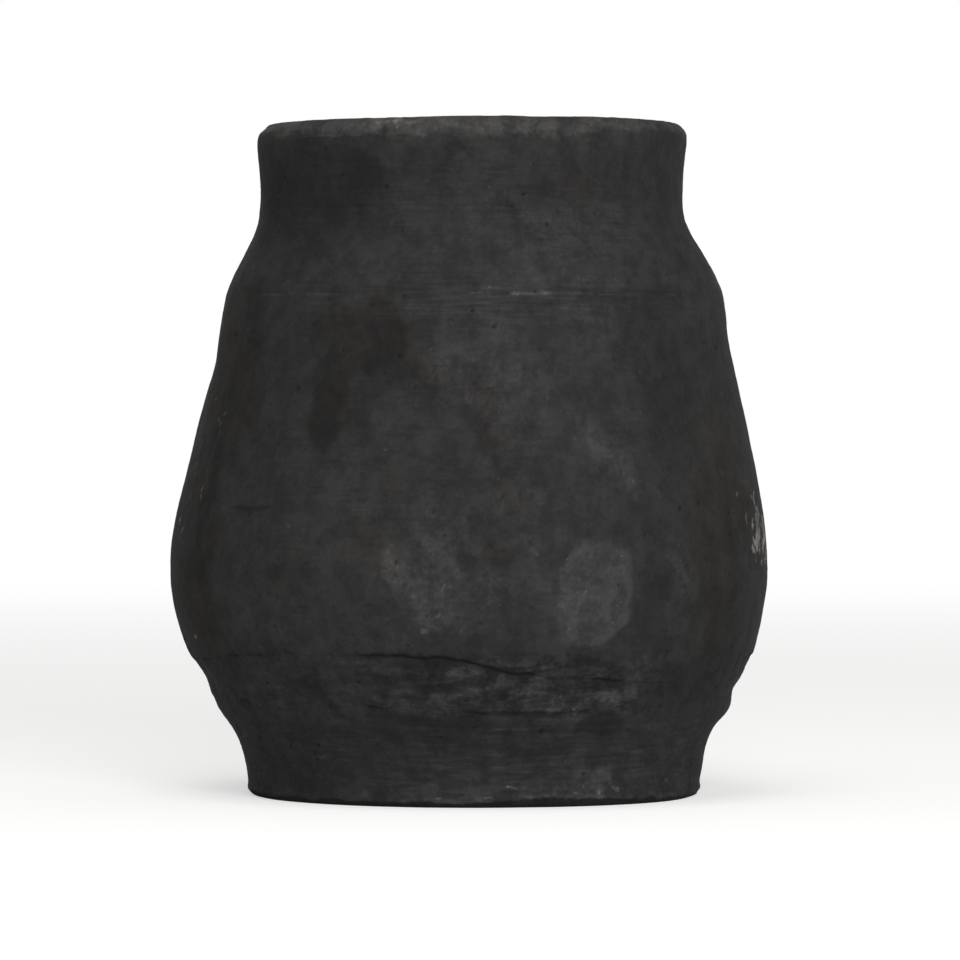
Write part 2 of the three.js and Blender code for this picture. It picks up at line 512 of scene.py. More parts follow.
def cracked(crack, height):
    # a joint that shows: the upper clay ends in a lip, below it runs a broken crack, and the lower
    # clay starts in a hollow that slopes out again. Gives the relief, how deep in the crack a point is
    # and a painted shade round the crack
    number = crack["noise"]
    opened = roundThePot(crack["open"], turnsRound) + 0.42 * aroundNoise(6, 4, number + 5)
    opened = np.clip(opened, 0, 1)
    above = height - crackLine(crack)
    width = crack["crackWidth"] * (0.55 + 0.75 * opened + 0.3 * aroundNoise(2.6, 2, number + 9))
    slot = hump(above, np.maximum(width, 0.2)) * blend(0.18, 0.7, opened)
    lip = blend(-0.5, 0.8, above) * np.exp(-np.clip(above, 0, None) / 5)
    under = blend(0.5, -0.8, above) * np.exp(-np.clip(-above, 0, None) / crack["hollowWidth"])
    shown = 0.06 + 0.94 * opened
    raised = shown * (crack["lip"] * lip - crack["hollow"] * under) - crack["crack"] * slot
    # painted shade: a band about 2 mm each way round the crack, darkest just below its line and where the
    # crack is open
    crackShade = hump(above + 0.3, 2.0) * blend(0.05, 0.7, opened)
    return raised, slot, crackShade


def tornLine():
    line = roundThePot(tornFoot["line"], turnsRound)
    return np.maximum(line + tornFoot["wander"] * aroundNoise(9, 4, 31), 1.0)


def smearedBand(height):
    # where the joints' clay was smeared over the seam by hand
    lower = blend(smear["from"] - smear["fade"], smear["from"], height)
    return lower * blend(smear["to"] + 2, smear["to"] - 2, height) * roundThePot(smearAround, turnsRound)


pitSizes = [  # cell, share of the cells that have a pit, radius, depth and seed
    (13, 0.28, 0.85, 0.6, 51), (6, 0.22, 0.55, 0.4, 57), (31, 0.3, 1.15, 0.5, 63),
]


def pits(turn, way, place):
    # pinholes of three sizes in crowds, each as deep as 1 - (distance / radius)^2 of its depth
    sunk = np.zeros(way.shape)
    crowd = blend(-0.1, 0.7, noise(place, 34, 41)) ** 2
    bent = way + 0.6 * noise(place, 2.4, 47)
    for cell, share, radius, depth, seed in pitSizes:
        distance, first, second = scattered(turn, bent, cell, seed)
        wide = radius * (0.45 + 0.9 * second)
        present = first < share * (0.25 + 1.6 * crowd)
        sunk += np.where(present, depth * np.clip(1 - (distance / wide) ** 2, 0, 1), 0)
    return sunk


def pushed(turn, height, place):
    # the sum of the swells, each a hump across times a hump up
    total = np.zeros(height.shape)
    lowest, highest = height.min(), height.max()
    for spot, middle, wide, tall, rise in swells:
        if lowest - 2.5 * tall < middle < highest + 2.5 * tall:
            total += rise * hump(across(turn, spot, place), wide) * hump(height - middle, tall)
    return total


def outsideRelief(turn, way, height, place, scraped):
    raised = handShape["amount"] * noise(place, handShape["size"], 1)
    raised += handShape["ripple"] * layered(place, handShape["rippleSize"], 2, 3)
    raised -= handShape["bellyDrop"] * hump(height - 92, 30)
    raised += pushed(turn, height, place)
    lines = layered(place, dragLines["size"], 2, 8)
    raised += dragLines["amount"] * (0.35 + scraped) * lines
    raised += grain["amount"] * layered(place, grain["size"], 2, 12)
    marks = {name: np.zeros(height.shape) for name in ("crack", "scored", "crackShade")}
    for number, (middle, start, end, depth, width) in enumerate(scoredLines):
        off = np.abs((turn - (start + end) / 2 + 180) % 360 - 180)
        half = (end - start) / 2
        kept = blend(half, half - 8, off) * blend(-0.4, 0.15, aroundNoise(14, 2, 70 + number))
        wander = 0.5 * aroundNoise(40, 1, 80 + number)
        groove = kept * hump(height - middle - wander, width)
        raised -= depth * groove
        raised += 0.35 * depth * kept * hump(height - middle - wander + 1.7 * width, width)
        marks["scored"] = np.maximum(marks["scored"], groove * depth / 0.3)
    for crack in (seam, fold):
        change, slot, crackShade = cracked(crack, height)
        raised += change
        marks["crackShade"] = np.maximum(marks["crackShade"], crackShade)
        marks["crack"] = np.maximum(marks["crack"], slot)
    aboveTear = height - tornLine()
    broken = 0.6 + 0.8 * aroundNoise(7, 3, 38)
    raised += tornFoot["burr"] * broken * hump(aboveTear - 1.0, tornFoot["burrHeight"])
    raised -= tornFoot["undercut"] * blend(0.4, -0.5, aboveTear)
    # painted shade: the clay below the torn foot line, under the undercut, is darkened through the soot
    # mark
    marks["underEdge"] = blend(0.25, -0.45, aboveTear)
    smeared = smearedBand(height)
    raised += smear["rough"] * smeared * layered(place, smear["size"], 4, 61)
    lump = np.hypot(across(turn, ringLump["turn"], place), height - ringLump["height"])
    raised += ringLump["rise"] * hump(lump - ringLump["radius"], 0.9) * (1 + 0.5 * noise(place, 2.2, 44))
    sunk = pits(turn, way, place)
    raised -= sunk
    marks["pit"] = np.clip(sunk / 0.4, 0, 1)
    return raised, marks


# Where the fire, the scraper and hands left the clay paler, darker, browner or smoother, and where
# painted highlights and painted shade stand in for light

ashAndEdgeHighlightSpots = [  # turn, height, half width, half height, softness, strength, and any lean to the right
    (-7.5, 84, 14, 16, 0.5, 0.76, 4), (-7, 70, 7, 7, 0.5, 0.7), (-14, 86, 3.4, 9, 0.5, 0.85),
    (-12.5, 86, 2.6, 6.5, 0.4, 1.1, 14), (-14, 93, 3, 3, 0.5, 0.8), (-9, 90, 2.4, 2, 0.5, 0.9),
    (-3.4, 79, 1.8, 4.5, 0.4, 1, 12), (-5, 71, 1.6, 4, 0.4, 0.9, 20), (-11, 76, 1.6, 4, 0.4, 0.95, -12),
    (-8, 83, 1.5, 2.4, 0.4, 0.95), (44, 87, 6, 9, 0.8, 0.4), (24.8, 83, 15, 14, 0.2, 1.15),
    (24.2, 70, 15, 10, 0.22, 1.15), (20, 64, 8, 5, 0.3, 0.45), (2, 152, 24, 14, 0.8, 0.36, 25),
    (26, 133, 5, 13, 0.6, 0.62, -38), (31.5, 121, 5, 12, 0.6, 0.62, -24), (7, 112, 14, 9, 0.8, 0.28),
    (1, 80, 17, 22, 0.9, 0.3), (11, 96, 5, 8, 0.7, 0.36), (35, 86, 6, 6, 0.7, 0.24),
    (22, 206, 20, 13, 0.8, 0.3), (-10, 204, 26, 12, 0.9, 0.2), (14, 190, 24, 5, 0.8, 0.24),
    (-26, 200, 13, 8, 0.9, 0.16), (34, 176, 10, 14, 0.9, 0.16), (-29, 214, 6, 9, 0.8, 0.14),
    (-1, 50, 8, 2.4, 0.25, 0.8, -7), (1.5, 45.2, 4.5, 2.6, 0.25, 0.75), (-6.5, 38.4, 7, 1.9, 0.3, 0.8, 6),
    (0, 40.6, 4, 1.8, 0.3, 0.6), (7, 46.4, 6, 2.8, 0.22, 0.8, -25), (11, 42.6, 7.5, 2.9, 0.22, 0.95, -18),
    (15.5, 40.6, 6.5, 2.3, 0.25, 0.95, -10), (22, 41.8, 4, 1.8, 0.35, 0.5),
    (30, 40.4, 6.5, 2.6, 0.25, 0.75, 8), (35.5, 40, 4, 2.2, 0.3, 0.65), (36, 47, 1.2, 2.2, 0.5, 0.6),
    (-14, 43, 5, 1.5, 0.4, 0.45), (4, 33.2, 6, 0.8, 0.5, 0.5), (-20, 50, 5, 1.6, 0.4, 0.4, -10),
    (-15, 48, 5, 5, 0.6, 0.3), (-42, 53, 4, 2.2, 0.5, 0.35), (-36, 52.4, 2.4, 1.6, 0.5, 0.4),
    (-14, 61, 5, 3.4, 0.6, 0.35, -20), (7, 38.6, 3.6, 1.3, 0.5, 0.45, -10), (-24, 60, 4, 3, 0.7, 0.25),
    (24, 9.5, 19, 5.5, 0.5, 0.55), (32, 9, 7, 4.6, 0.3, 0.72), (22, 5.4, 8, 2, 0.3, 0.66),
    (2, 6.5, 14, 2.6, 0.5, 0.42), (-13, 5.6, 8, 1.8, 0.5, 0.4), (37, 11, 6, 5, 0.6, 0.36),
    (42, 18, 10, 7, 0.8, 0.26), (20, 23, 22, 6, 0.9, 0.2), (-41, 33, 8, 5, 0.9, 0.15),
    # the five spots at turns near -86 and 88, between heights 136 and 227, are painted highlights along
    # the pot's sides as seen from the front
    (-84, 200, 14, 19, 0.6, 1), (-87, 172, 10, 16, 0.6, 0.9), (-84, 136, 18, 18, 0.6, 1),
    (88, 186, 12, 11, 0.5, 0.9), (87, 227, 11, 11, 0.6, 0.8), (9.4, 41, 4.5, 2.2, 0.25, 0.95, -18),
    (0, 95, 5, 9, 0.8, 0.5), (104, 88, 16, 20, 0.4, 0.7), (150, 132, 24, 17, 0.8, 0.4, 20),
    (-126, 82, 14, 18, 0.35, 0.75), (-158, 150, 22, 14, 0.8, 0.35), (178, 72, 14, 15, 0.45, 0.65),
    (128, 203, 22, 11, 0.8, 0.3), (-112, 200, 20, 12, 0.8, 0.3), (-108, 42, 9, 3.2, 0.3, 0.75),
    (138, 42, 10, 3.2, 0.3, 0.75), (-150, 46, 8, 3, 0.35, 0.55), (168, 45, 9, 2.8, 0.4, 0.5),
    (96, 9, 16, 5, 0.5, 0.45), (-130, 8, 20, 5, 0.5, 0.45), (172, 11, 24, 6, 0.6, 0.4),
    (-95, 128, 10, 20, 0.8, 0.3),
]
chipAndHighlightSpots = [
    # the large chips at turns 72 to 88, heights 88 to 108, at the right side as seen from the front, are
    # brightened past pale clay as a painted highlight
    (76, 99, 5.4, 8.4, 0.3, 1.2, 12), (77.5, 108, 3, 5, 0.4, 1.1, -14), (72, 90, 1.6, 3.4, 0.4, 0.9, -18),
    (69, 104, 1.1, 2.2, 0.5, 0.8), (83, 97, 4.8, 8, 0.3, 1.2, -16), (85, 88, 2.2, 3.2, 0.4, 0.9, 10),
    (80, 91, 1.5, 2.2, 0.5, 0.8), (88, 101, 1, 2.6, 0.5, 0.8, 20), (66, 112, 0.9, 1.6, 0.5, 0.7),
    (-66, 112, 0.9, 2.4, 0.4, 0.9, 12), (-74, 96, 0.9, 3.4, 0.4, 0.9, 8),
    (-65, 139, 0.8, 4.4, 0.4, 0.9, 14), (-75, 122, 0.8, 3, 0.4, 0.9, 10), (-78, 104, 1, 3.6, 0.4, 0.9),
    (-70, 60, 2, 0.8, 0.4, 0.8, -20), (-72, 146, 0.7, 2, 0.5, 0.8), (-8.5, 64.6, 2, 1.2, 0.5, 0.55),
    (-14.6, 88, 1.2, 2.6, 0.6, 0.4, 20), (20.5, 74, 1.6, 1, 0.5, 0.45),
    (-13.2, 88, 0.9, 2.6, 0.5, 0.5, 14), (-12.4, 82, 0.7, 2, 0.5, 0.5, -10), (-9.2, 89, 1.3, 1, 0.5, 0.5),
    (-7.2, 86, 0.8, 1.6, 0.5, 0.45), (-4.6, 80, 0.8, 2.2, 0.5, 0.5, 16),
    (-10.8, 76, 0.7, 2.4, 0.5, 0.45, -8), (-5.8, 71, 0.8, 2, 0.5, 0.45, 20),
    (-14.8, 94, 1, 1.2, 0.5, 0.4), (-2.4, 86, 0.6, 1.8, 0.5, 0.4), (9.6, 41.2, 4, 2, 0.5, 0.45, -18),
    (-19.5, 247.4, 5, 3, 0.6, 0.55), (-26, 248, 3, 2.4, 0.6, 0.45), (18, 4.6, 3.2, 0.6, 0.5, 0.5, -3),
    (26, 4.8, 2.4, 0.6, 0.5, 0.55), (3, 3.8, 4, 0.5, 0.5, 0.5, 2), (-9, 3.6, 2.6, 0.5, 0.5, 0.45),
    (32, 5.2, 1.8, 0.8, 0.5, 0.6), (13, 3.9, 1.6, 0.5, 0.5, 0.5), (-1, 148, 1.8, 1.2, 0.6, 0.4),
    (9, 7.4, 2.6, 0.7, 0.5, 0.5), (37, 6, 2, 1.4, 0.5, 0.6, 30), (56, 7, 1.4, 1, 0.5, 0.5),
    (-40, 17.6, 3.2, 0.5, 0.5, 0.5, -4), (-33, 17, 3, 0.5, 0.5, 0.5, 6), (118, 100, 2, 3.4, 0.4, 0.9),
    (-132, 96, 1.6, 2.6, 0.4, 0.8, 10), (170, 6, 2.6, 1.2, 0.5, 0.6), (-100, 5, 2.2, 1.4, 0.5, 0.6),
    (155, 184, 2.4, 0.8, 0.5, 0.5),
]
sootSpots = [
    (-2, 226, 60, 13, 0.6, 0.36), (52, 150, 12, 60, 0.9, 0.3), (0, 22, 60, 12, 0.8, 0.44),
    (-16, 150, 20, 30, 0.9, 0.16), (-50, 222, 38, 21, 0.6, 0.78), (-31, 229, 13, 8, 0.5, 0.8),
    (-17, 232, 11, 6, 0.7, 0.42), (-4.6, 238, 5.5, 3.2, 0.5, 0.75), (-46, 203, 8, 16, 0.8, 0.42, 14),
    (10, 226, 19, 9, 0.9, 0.34), (46, 229, 16, 10, 0.8, 0.42), (-58, 177, 9, 17, 0.6, 0.6),
    (-38, 150, 34, 44, 0.9, 0.3), (-62, 150, 5, 26, 0.6, 0.55, 6), (-20, 166, 8, 11, 0.4, 0.7, 8),
    (-15, 156, 8, 6, 0.5, 0.55, -25), (-31, 140, 8, 10, 0.4, 0.8, -6), (-33, 155, 6, 12, 0.5, 0.62, 16),
    (-36, 171, 5, 8, 0.5, 0.55), (-23, 144, 5, 9, 0.5, 0.5, 10), (-63, 110, 5, 26, 0.5, 0.72, 3),
    (-62, 88, 4.5, 9, 0.5, 0.7), (-66, 140, 4, 16, 0.5, 0.6, 8), (-44, 206, 6, 18, 0.4, 0.55, 24),
    (-33, 231, 10, 9, 0.5, 0.5), (62, 90, 6, 26, 0.7, 0.4), (20, 142, 12, 6, 0.7, 0.3, -30),
    (40, 165, 10, 30, 0.7, 0.4, -8), (3, 132, 5, 16, 0.7, 0.4, -40), (14, 171, 6, 7, 0.8, 0.5),
    (15.6, 119, 6, 7, 0.9, 0.48), (0, 92, 3, 14, 0.7, 0.35), (-54, 140, 9, 30, 0.8, 0.3, 8),
    (45, 150, 18, 44, 0.9, 0.42), (32, 104, 4, 11, 0.7, 0.34, 14), (-47, 108, 11, 1.1, 0.5, 0.85),
    (-35, 108, 8, 1.4, 0.6, 0.4), (-11, 53.6, 13, 2.4, 0.7, 0.66, -3), (9, 56, 9, 2.2, 0.8, 0.58),
    (-12, 47.6, 12, 1.6, 0.4, 0.75), (6, 40.6, 3, 2.2, 0.5, 0.6), (-12, 41, 6, 1.3, 0.4, 0.7),
    (4.5, 46.8, 2.2, 3, 0.5, 0.55), (30.2, 30.2, 10, 3.8, 0.45, 1.25),
    (-10.5, 52.6, 11, 1.9, 0.4, 0.9, -2), (-7.5, 44.6, 10, 2, 0.4, 0.9), (-8, 31.5, 17, 3.4, 0.6, 0.65),
    (10, 34.4, 16, 1, 0.6, 0.7), (30, 47, 12, 2.2, 0.7, 0.55, -5), (-45, 18, 32, 16, 0.7, 0.55),
    (-6, 22, 13, 8, 0.8, 0.55), (38, 78, 5.5, 27, 0.6, 0.42), (-50, 8, 13, 7, 0.5, 0.62),
    (-38, 46, 16, 9, 0.7, 0.44), (0, 60, 28, 3.2, 0.7, 0.34), (-7.6, 76, 2.6, 4, 0.6, 0.42),
    (-10, 95, 4, 3, 0.7, 0.3), (-4, 87, 2.4, 3, 0.6, 0.35), (60, 202, 14, 14, 0.8, 0.4),
    (50, 186, 22, 3, 0.6, 0.45), (-60, 45, 26, 9, 0.8, 0.48), (46, 40, 18, 9, 0.8, 0.46),
    (8, 6, 3.2, 1.6, 0.6, 0.6), (-24, 245, 2.2, 3.4, 0.6, 0.75), (24.5, 244, 2.2, 3.6, 0.6, 0.7),
    (-19, 246, 1.2, 3, 0.6, 0.5), (0, 118, 9, 26, 0.9, 0.22, -20), (120, 150, 30, 34, 0.9, 0.5),
    (-100, 150, 24, 36, 0.9, 0.4), (160, 95, 22, 26, 0.9, 0.4), (-160, 222, 34, 16, 0.7, 0.6),
    (95, 224, 26, 15, 0.8, 0.5), (140, 60, 26, 8, 0.8, 0.4), (-140, 28, 40, 14, 0.8, 0.5),
    (130, 26, 34, 12, 0.8, 0.45),
]
rustSpots = [
    (-24, 170, 16, 13, 0.5, 1), (-30, 146, 10, 16, 0.5, 1), (-13, 158, 11, 8, 0.6, 0.8),
    (-17, 118, 9, 7, 0.6, 0.5), (3, 96, 3.4, 22, 0.6, 0.7), (9, 73, 5, 5, 0.6, 0.6),
    (-20, 96, 12, 9, 0.7, 0.5), (4, 140, 5, 20, 0.6, 0.6, -34), (-70, 152, 16, 36, 0.6, 1, 8),
    (-64, 92, 16, 40, 0.5, 1), (-57, 146, 9, 24, 0.5, 1, 4), (57, 92, 16, 36, 0.35, 1),
    (64, 118, 14, 24, 0.6, 0.9), (50, 136, 13, 20, 0.9, 0.45), (28, 226, 13, 10, 0.9, 0.6),
    (8, 118, 4, 24, 0.9, 0.5, -24), (60, 58, 14, 12, 0.9, 0.6), (-48, 206, 20, 12, 0.9, 0.35),
    (-36, 88, 14, 12, 0.9, 0.35), (110, 170, 30, 26, 0.9, 0.7), (165, 120, 26, 34, 0.9, 0.7),
    (-120, 130, 24, 30, 0.9, 0.7), (-155, 60, 26, 16, 0.9, 0.6), (140, 222, 24, 12, 0.9, 0.5),
]
scrapedSpots = [
    (16, 18, 46, 11, 0.5, 1), (-24, 22, 26, 12, 0.8, 0.5), (0, 184, 74, 9, 0.6, 0.9),
    (0, 218, 70, 12, 0.8, 0.55), (24, 206, 34, 10, 0.8, 0.5), (-120, 20, 60, 11, 0.7, 0.8),
    (150, 22, 60, 12, 0.7, 0.8), (180, 186, 90, 10, 0.7, 0.8), (-110, 210, 60, 16, 0.8, 0.6),
    (120, 120, 40, 20, 0.9, 0.4), (-20, 120, 40, 30, 0.9, 0.25),
]
# the pale band on the lip, rubbed clay and a painted highlight on the lip's rounding: its strength round
# the pot, then the height where it begins
rubAndHighlightAround = [
    (-150, 0.9), (-100, 1), (-66, 1.75), (-30, 1.55), (-18, 1.5), (-8, 0.95), (0, 0.74), (12, 0.66),
    (26, 0.72), (50, 0.8), (90, 0.7), (140, 1),
]
rubAndHighlightFrom = [
    (-150, 242), (-80, 244), (-40, 242.5), (-26, 241.5), (-17, 241.5), (-10, 243.6), (-2, 241.6),
    (10, 241), (22, 240.5), (34, 243), (60, 245), (90, 243), (140, 242),
]
burrAround = [
    (-150, 0.4), (-110, 0.1), (-60, 0.1), (-34, 0.15), (-20, 0.45), (0, 0.55), (20, 0.5), (38, 0.45),
    (60, 0.25), (100, 0.5), (140, 0.3),
]
blotchKinds = {  # strength, size, the noise at which it starts to show and shows in full, and seed
    "seam slip": (0.6, (12, 12, 3.4), 0.1, 0.26, 171),
    "foot slip": (0.5, (8, 8, 1.2), 0.2, 0.36, 173),
    "seam soot": (0.8, (16, 16, 2.8), 0.08, 0.26, 177),
    "foot soot": (0.45, (11, 11, 1.4), 0.14, 0.42, 179),
}
markNames = ("crack", "pit", "ashAndHighlight", "sootAndShade", "rust", "rubAndLipHighlight", "scraped", "smear", "chipAndHighlight")


def ovals(spots, turn, height, place, rag, seed, ragSize=13):
    # the strongest of the listed ovals. Each one's edge is pulled about by noise, and its strength
    # falls to nothing over its softness, as a share of its size
    pulled = rag * layered(place, ragSize, 4, seed)
    lifted = rag * layered(place, ragSize, 4, seed + 5)
    strongest = np.zeros(height.shape)
    lowest, highest = height.min(), height.max()
    for spot, middle, wide, tall, soft, strength, *lean in spots:
        c, s = cos(radians(sum(lean))), sin(radians(sum(lean)))
        reach = 2 * max(tall, wide * abs(s)) + 2 * rag
        if not lowest - reach < middle < highest + reach:
            continue
        pull = min(1, tall / 6)
        aside = across(turn, spot, place) + pull * pulled
        up = height - middle + pull * lifted
        size = np.hypot((aside * c - up * s) / wide, (up * c + aside * s) / tall)
        strongest = np.maximum(strongest, strength * blend(1 + soft, 1 - soft, size))
    return strongest


def blotches(name, where, place):
    # ragged patches, where layered noise is high
    strength, size, low, high, seed = blotchKinds[name]
    return strength * where * blend(low, high, layered(place, size, 4, seed))


def handledRimAndHighlight(way, height, place):
    # how far hands have rubbed the lip, which also holds a painted highlight on its rounded top: all of
    # its top, and a band down its side with a ragged end
    above = height - roundThePot(rubAndHighlightFrom, turnsRound) + 2.0 * layered(place, (12, 12, 4), 4, 121)
    side = blend(-1.5, 3.5, above) * blend(238.6, 240.6, height) * (way < wayLip)
    inside = blend(wayLip + 15, wayLip + 4, way) * (way >= wayLip)
    return np.maximum(side, inside)


def relief(way):
    # every part of the skin has its own: outside, lip, inside and the two flats, blended by way
    turn = np.broadcast_to(turnsRound, way.shape)
    plain = onSkin(turn, way)
    height = plain[..., 2]
    outside = blend(wayEdge - 1, wayEdge + 0.5, way) * blend(wayLip + 2, wayLip - 5, way)
    onWall = blend(wayEdge - 6, wayEdge, way) * blend(wayLip + 6, wayLip - 2, way)
    scraped = onWall * ovals(scrapedSpots, turn, height, plain, 5, 141)
    raised, marks = outsideRelief(turn, way, height, plain, scraped)
    lip = blend(wayLip - 7, wayLip - 2, way) * blend(wayLip + 12, wayLip + 3, way)
    inside = blend(wayLip, wayLip + 8, way)
    onFloor = blend(wayFloor - 8, wayFloor + 2, way)
    under = blend(wayEdge, wayEdge - 3, way)
    fingers = 0.55 * noise(plain * (0.25, 0.25, 1) + 3 * noise(plain, 90, 15)[..., None], 11, 16)
    fingers += 0.35 * noise(plain, 40, 17) + 0.08 * layered(plain, (20, 20, 1.6), 2, 18)
    wipe = 0.4 * noise(plain, 30, 19) + 0.12 * layered(plain, 5, 2, 20)
    total = outside * raised
    total += lip * np.minimum(roundThePot(lipWave, turnsRound) + 0.09 * layered(plain, 5, 2, 35), -0.01)
    total += inside * (1 - onFloor) * fingers + onFloor * wipe
    total -= under * (0.04 + 0.1 * np.abs(layered(plain, 9, 2, 37)))
    for name in marks:
        marks[name] = marks[name] * outside
    marks["scraped"] = scraped
    marks["smear"] = onWall * smearedBand(height)
    handled = marks["smear"] * (way < wayLip)
    footBand = blend(34, 28, height) * blend(1.5, 4, height) * onWall * (way < wayLip)
    inner = 1 + 0.45 * layered(plain, 5, 4, 175)
    ashAndHighlight = [
        onWall * np.minimum(ovals(ashAndEdgeHighlightSpots, turn, height, plain, 2.2, 101) * inner, 1),
        blotches("seam slip", handled, plain),
        blotches("foot slip", footBand, plain),
    ]
    cloudy = 0.8 + 0.5 * noise(plain, (20, 20, 6), 131)
    sootAndShade = np.maximum.reduce([
        ovals(sootSpots, turn, height, plain, 4, 111),
        # painted shade: a cloudy dark band from height 33 to 61, below the seam's overhanging lip
        0.36 * blend(61, 55, height) * blend(33, 39, height) * cloudy,
        blotches("seam soot", handled, plain),
        blotches("foot soot", footBand, plain),
        0.8 * marks.pop("crackShade"),
        0.8 * marks.pop("underEdge"),
    ])
    # the soot mark holds the smoke's dark patches and also painted shade along the cracks, under the torn
    # foot edge and in the band under the seam
    marks["sootAndShade"] = np.maximum(onWall * sootAndShade, 0.35 * inside)
    marks["rust"] = onWall * ovals(rustSpots, turn, height, plain, 8.0, 151)
    marks["rust"] *= 0.9 + 0.3 * layered(plain, 12, 4, 155)
    broken = roundThePot(burrAround, turnsRound) + 0.9 * aroundNoise(13, 5, 38)
    burr = np.clip(hump(height - tornLine() - 0.9, 0.9) * broken, 0, 1) * outside * (way < wayLip)
    rim = handledRimAndHighlight(way, height, plain) * roundThePot(rubAndHighlightAround, turnsRound)
    rim *= 0.95 + 0.42 * layered(plain, (7, 7, 12), 4, 125)
    chipsAndHighlight = onWall * ovals(chipAndHighlightSpots, turn, height, plain, 6, 161, 5)
    marks["chipAndHighlight"] = chipsAndHighlight
    total -= 0.25 * chipsAndHighlight
    scoredPale = marks.pop("scored") * hump(height - 186, 5) * (0.5 + hump(across(turn, 7, plain), 14))
    marks["rubAndLipHighlight"] = np.maximum.reduce([rim, scoredPale, chipsAndHighlight, 0.2 * burr])
    marks["ashAndHighlight"] = np.maximum.reduce([*ashAndHighlight, chipsAndHighlight, burr])
    return total, marks


# The sections

sections = {
    "base_disc": {"slot": "smoked_base", "rowHeight": 0.5},
    "foot_wall": {"slot": "black_clay", "rowHeight": 0.56},
    "seam_coil": {"slot": "black_clay", "rowHeight": 0.33},
    "belly_wall": {"slot": "black_clay", "rowHeight": 0.66},
    "body_wall": {"slot": "black_clay", "rowHeight": 0.98},
    "shoulder_wall": {"slot": "black_clay", "rowHeight": 0.5},
    "neck_coil": {"slot": "black_clay", "rowHeight": 0.6},
    "collar_wall": {"slot": "black_clay", "rowHeight": 0.55},
    "rim_coil": {"slot": "rubbed_rim", "rowHeight": 0.4},
}
insideRow = 3.4
flats = {"poleGap": 4, "underRows": 16, "underEnd": 2, "edgeStart": 1.6, "floorRows": 18}  # of the disc
lipTop = {"before": 7, "beyond": 9}  # how far along the way it reaches from the highest point
mapping = {  # of the surface onto the square, in shares of the square, except the reach in millimetres
    "gap": 0.006, "bands": (8, 6, 5, 4, 3, 2, 1), "flatReach": 92, "edgeFrom": 0.53, "edgeShare": 0.46,
}


def jointWays():
    # the way of each joint round the pot, outside and inside, from the lowest joint up. The three lowest
    # follow the torn foot, the fold and the seam, and the others waver a little
    names = list(sections)
    torn = {"base_disc": tornLine()}
    torn["foot_wall"], torn["seam_coil"] = crackLine(fold) - 0.2, crackLine(seam) - 0.2
    outside, inside = [], []
    for number, (below, above) in enumerate(zip(names, names[1:])):
        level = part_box(above)[0].z / metres + 0.4 * aroundNoise(50, 1, 90 + number)
        outside.append(wayOutside(torn.get(below, level)))
        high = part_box(below)[1].z / metres
        inside.append(np.full(columns, wayFloor if below == "base_disc" else wayInside(high)))
    return outside, inside


outsideJoints, insideJoints = jointWays()


def spread(start, end, step):
    # rows of ways from one joint to the next, no further than a step apart
    count = max(int(np.ceil(np.abs(end - start).max() / step)), 2)
    share = np.linspace(0, 1, count + 1)[:, None]
    return start + (end - start) * share


def skinRows(rows):
    raised, marks = relief(rows)
    place = onSkin(np.broadcast_to(turnsRound, rows.shape), rows, raised)
    place[..., 2] = np.maximum(place[..., 2], 0)
    return place, marks


def between(first, last, count):
    # rows inside the clay, straight from one face to the other
    share = (np.arange(1, count + 1) / (count + 1))[:, None, None]
    return first + (last - first) * share


def seatRows(outerEdge, toe):
    # the foot wall's seat: in along the base disc's top, up its raised middle and in to the toe
    angle = np.radians(turnsRound - 90)
    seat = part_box("foot_wall")[0].z / metres
    x, y = insideFloor["seatRadius"] * np.cos(angle), insideFloor["seatRadius"] * np.sin(angle)
    corner = np.stack([x, y, np.full(columns, seat)], -1)
    corner[:, 0] += outerEdge[:, 0].mean()
    raised = corner.copy()
    raised[:, 2] = insideFloor["height"]
    return np.stack([outerEdge * 0.5 + corner * 0.5, corner, raised, raised * 0.5 + toe * 0.5])


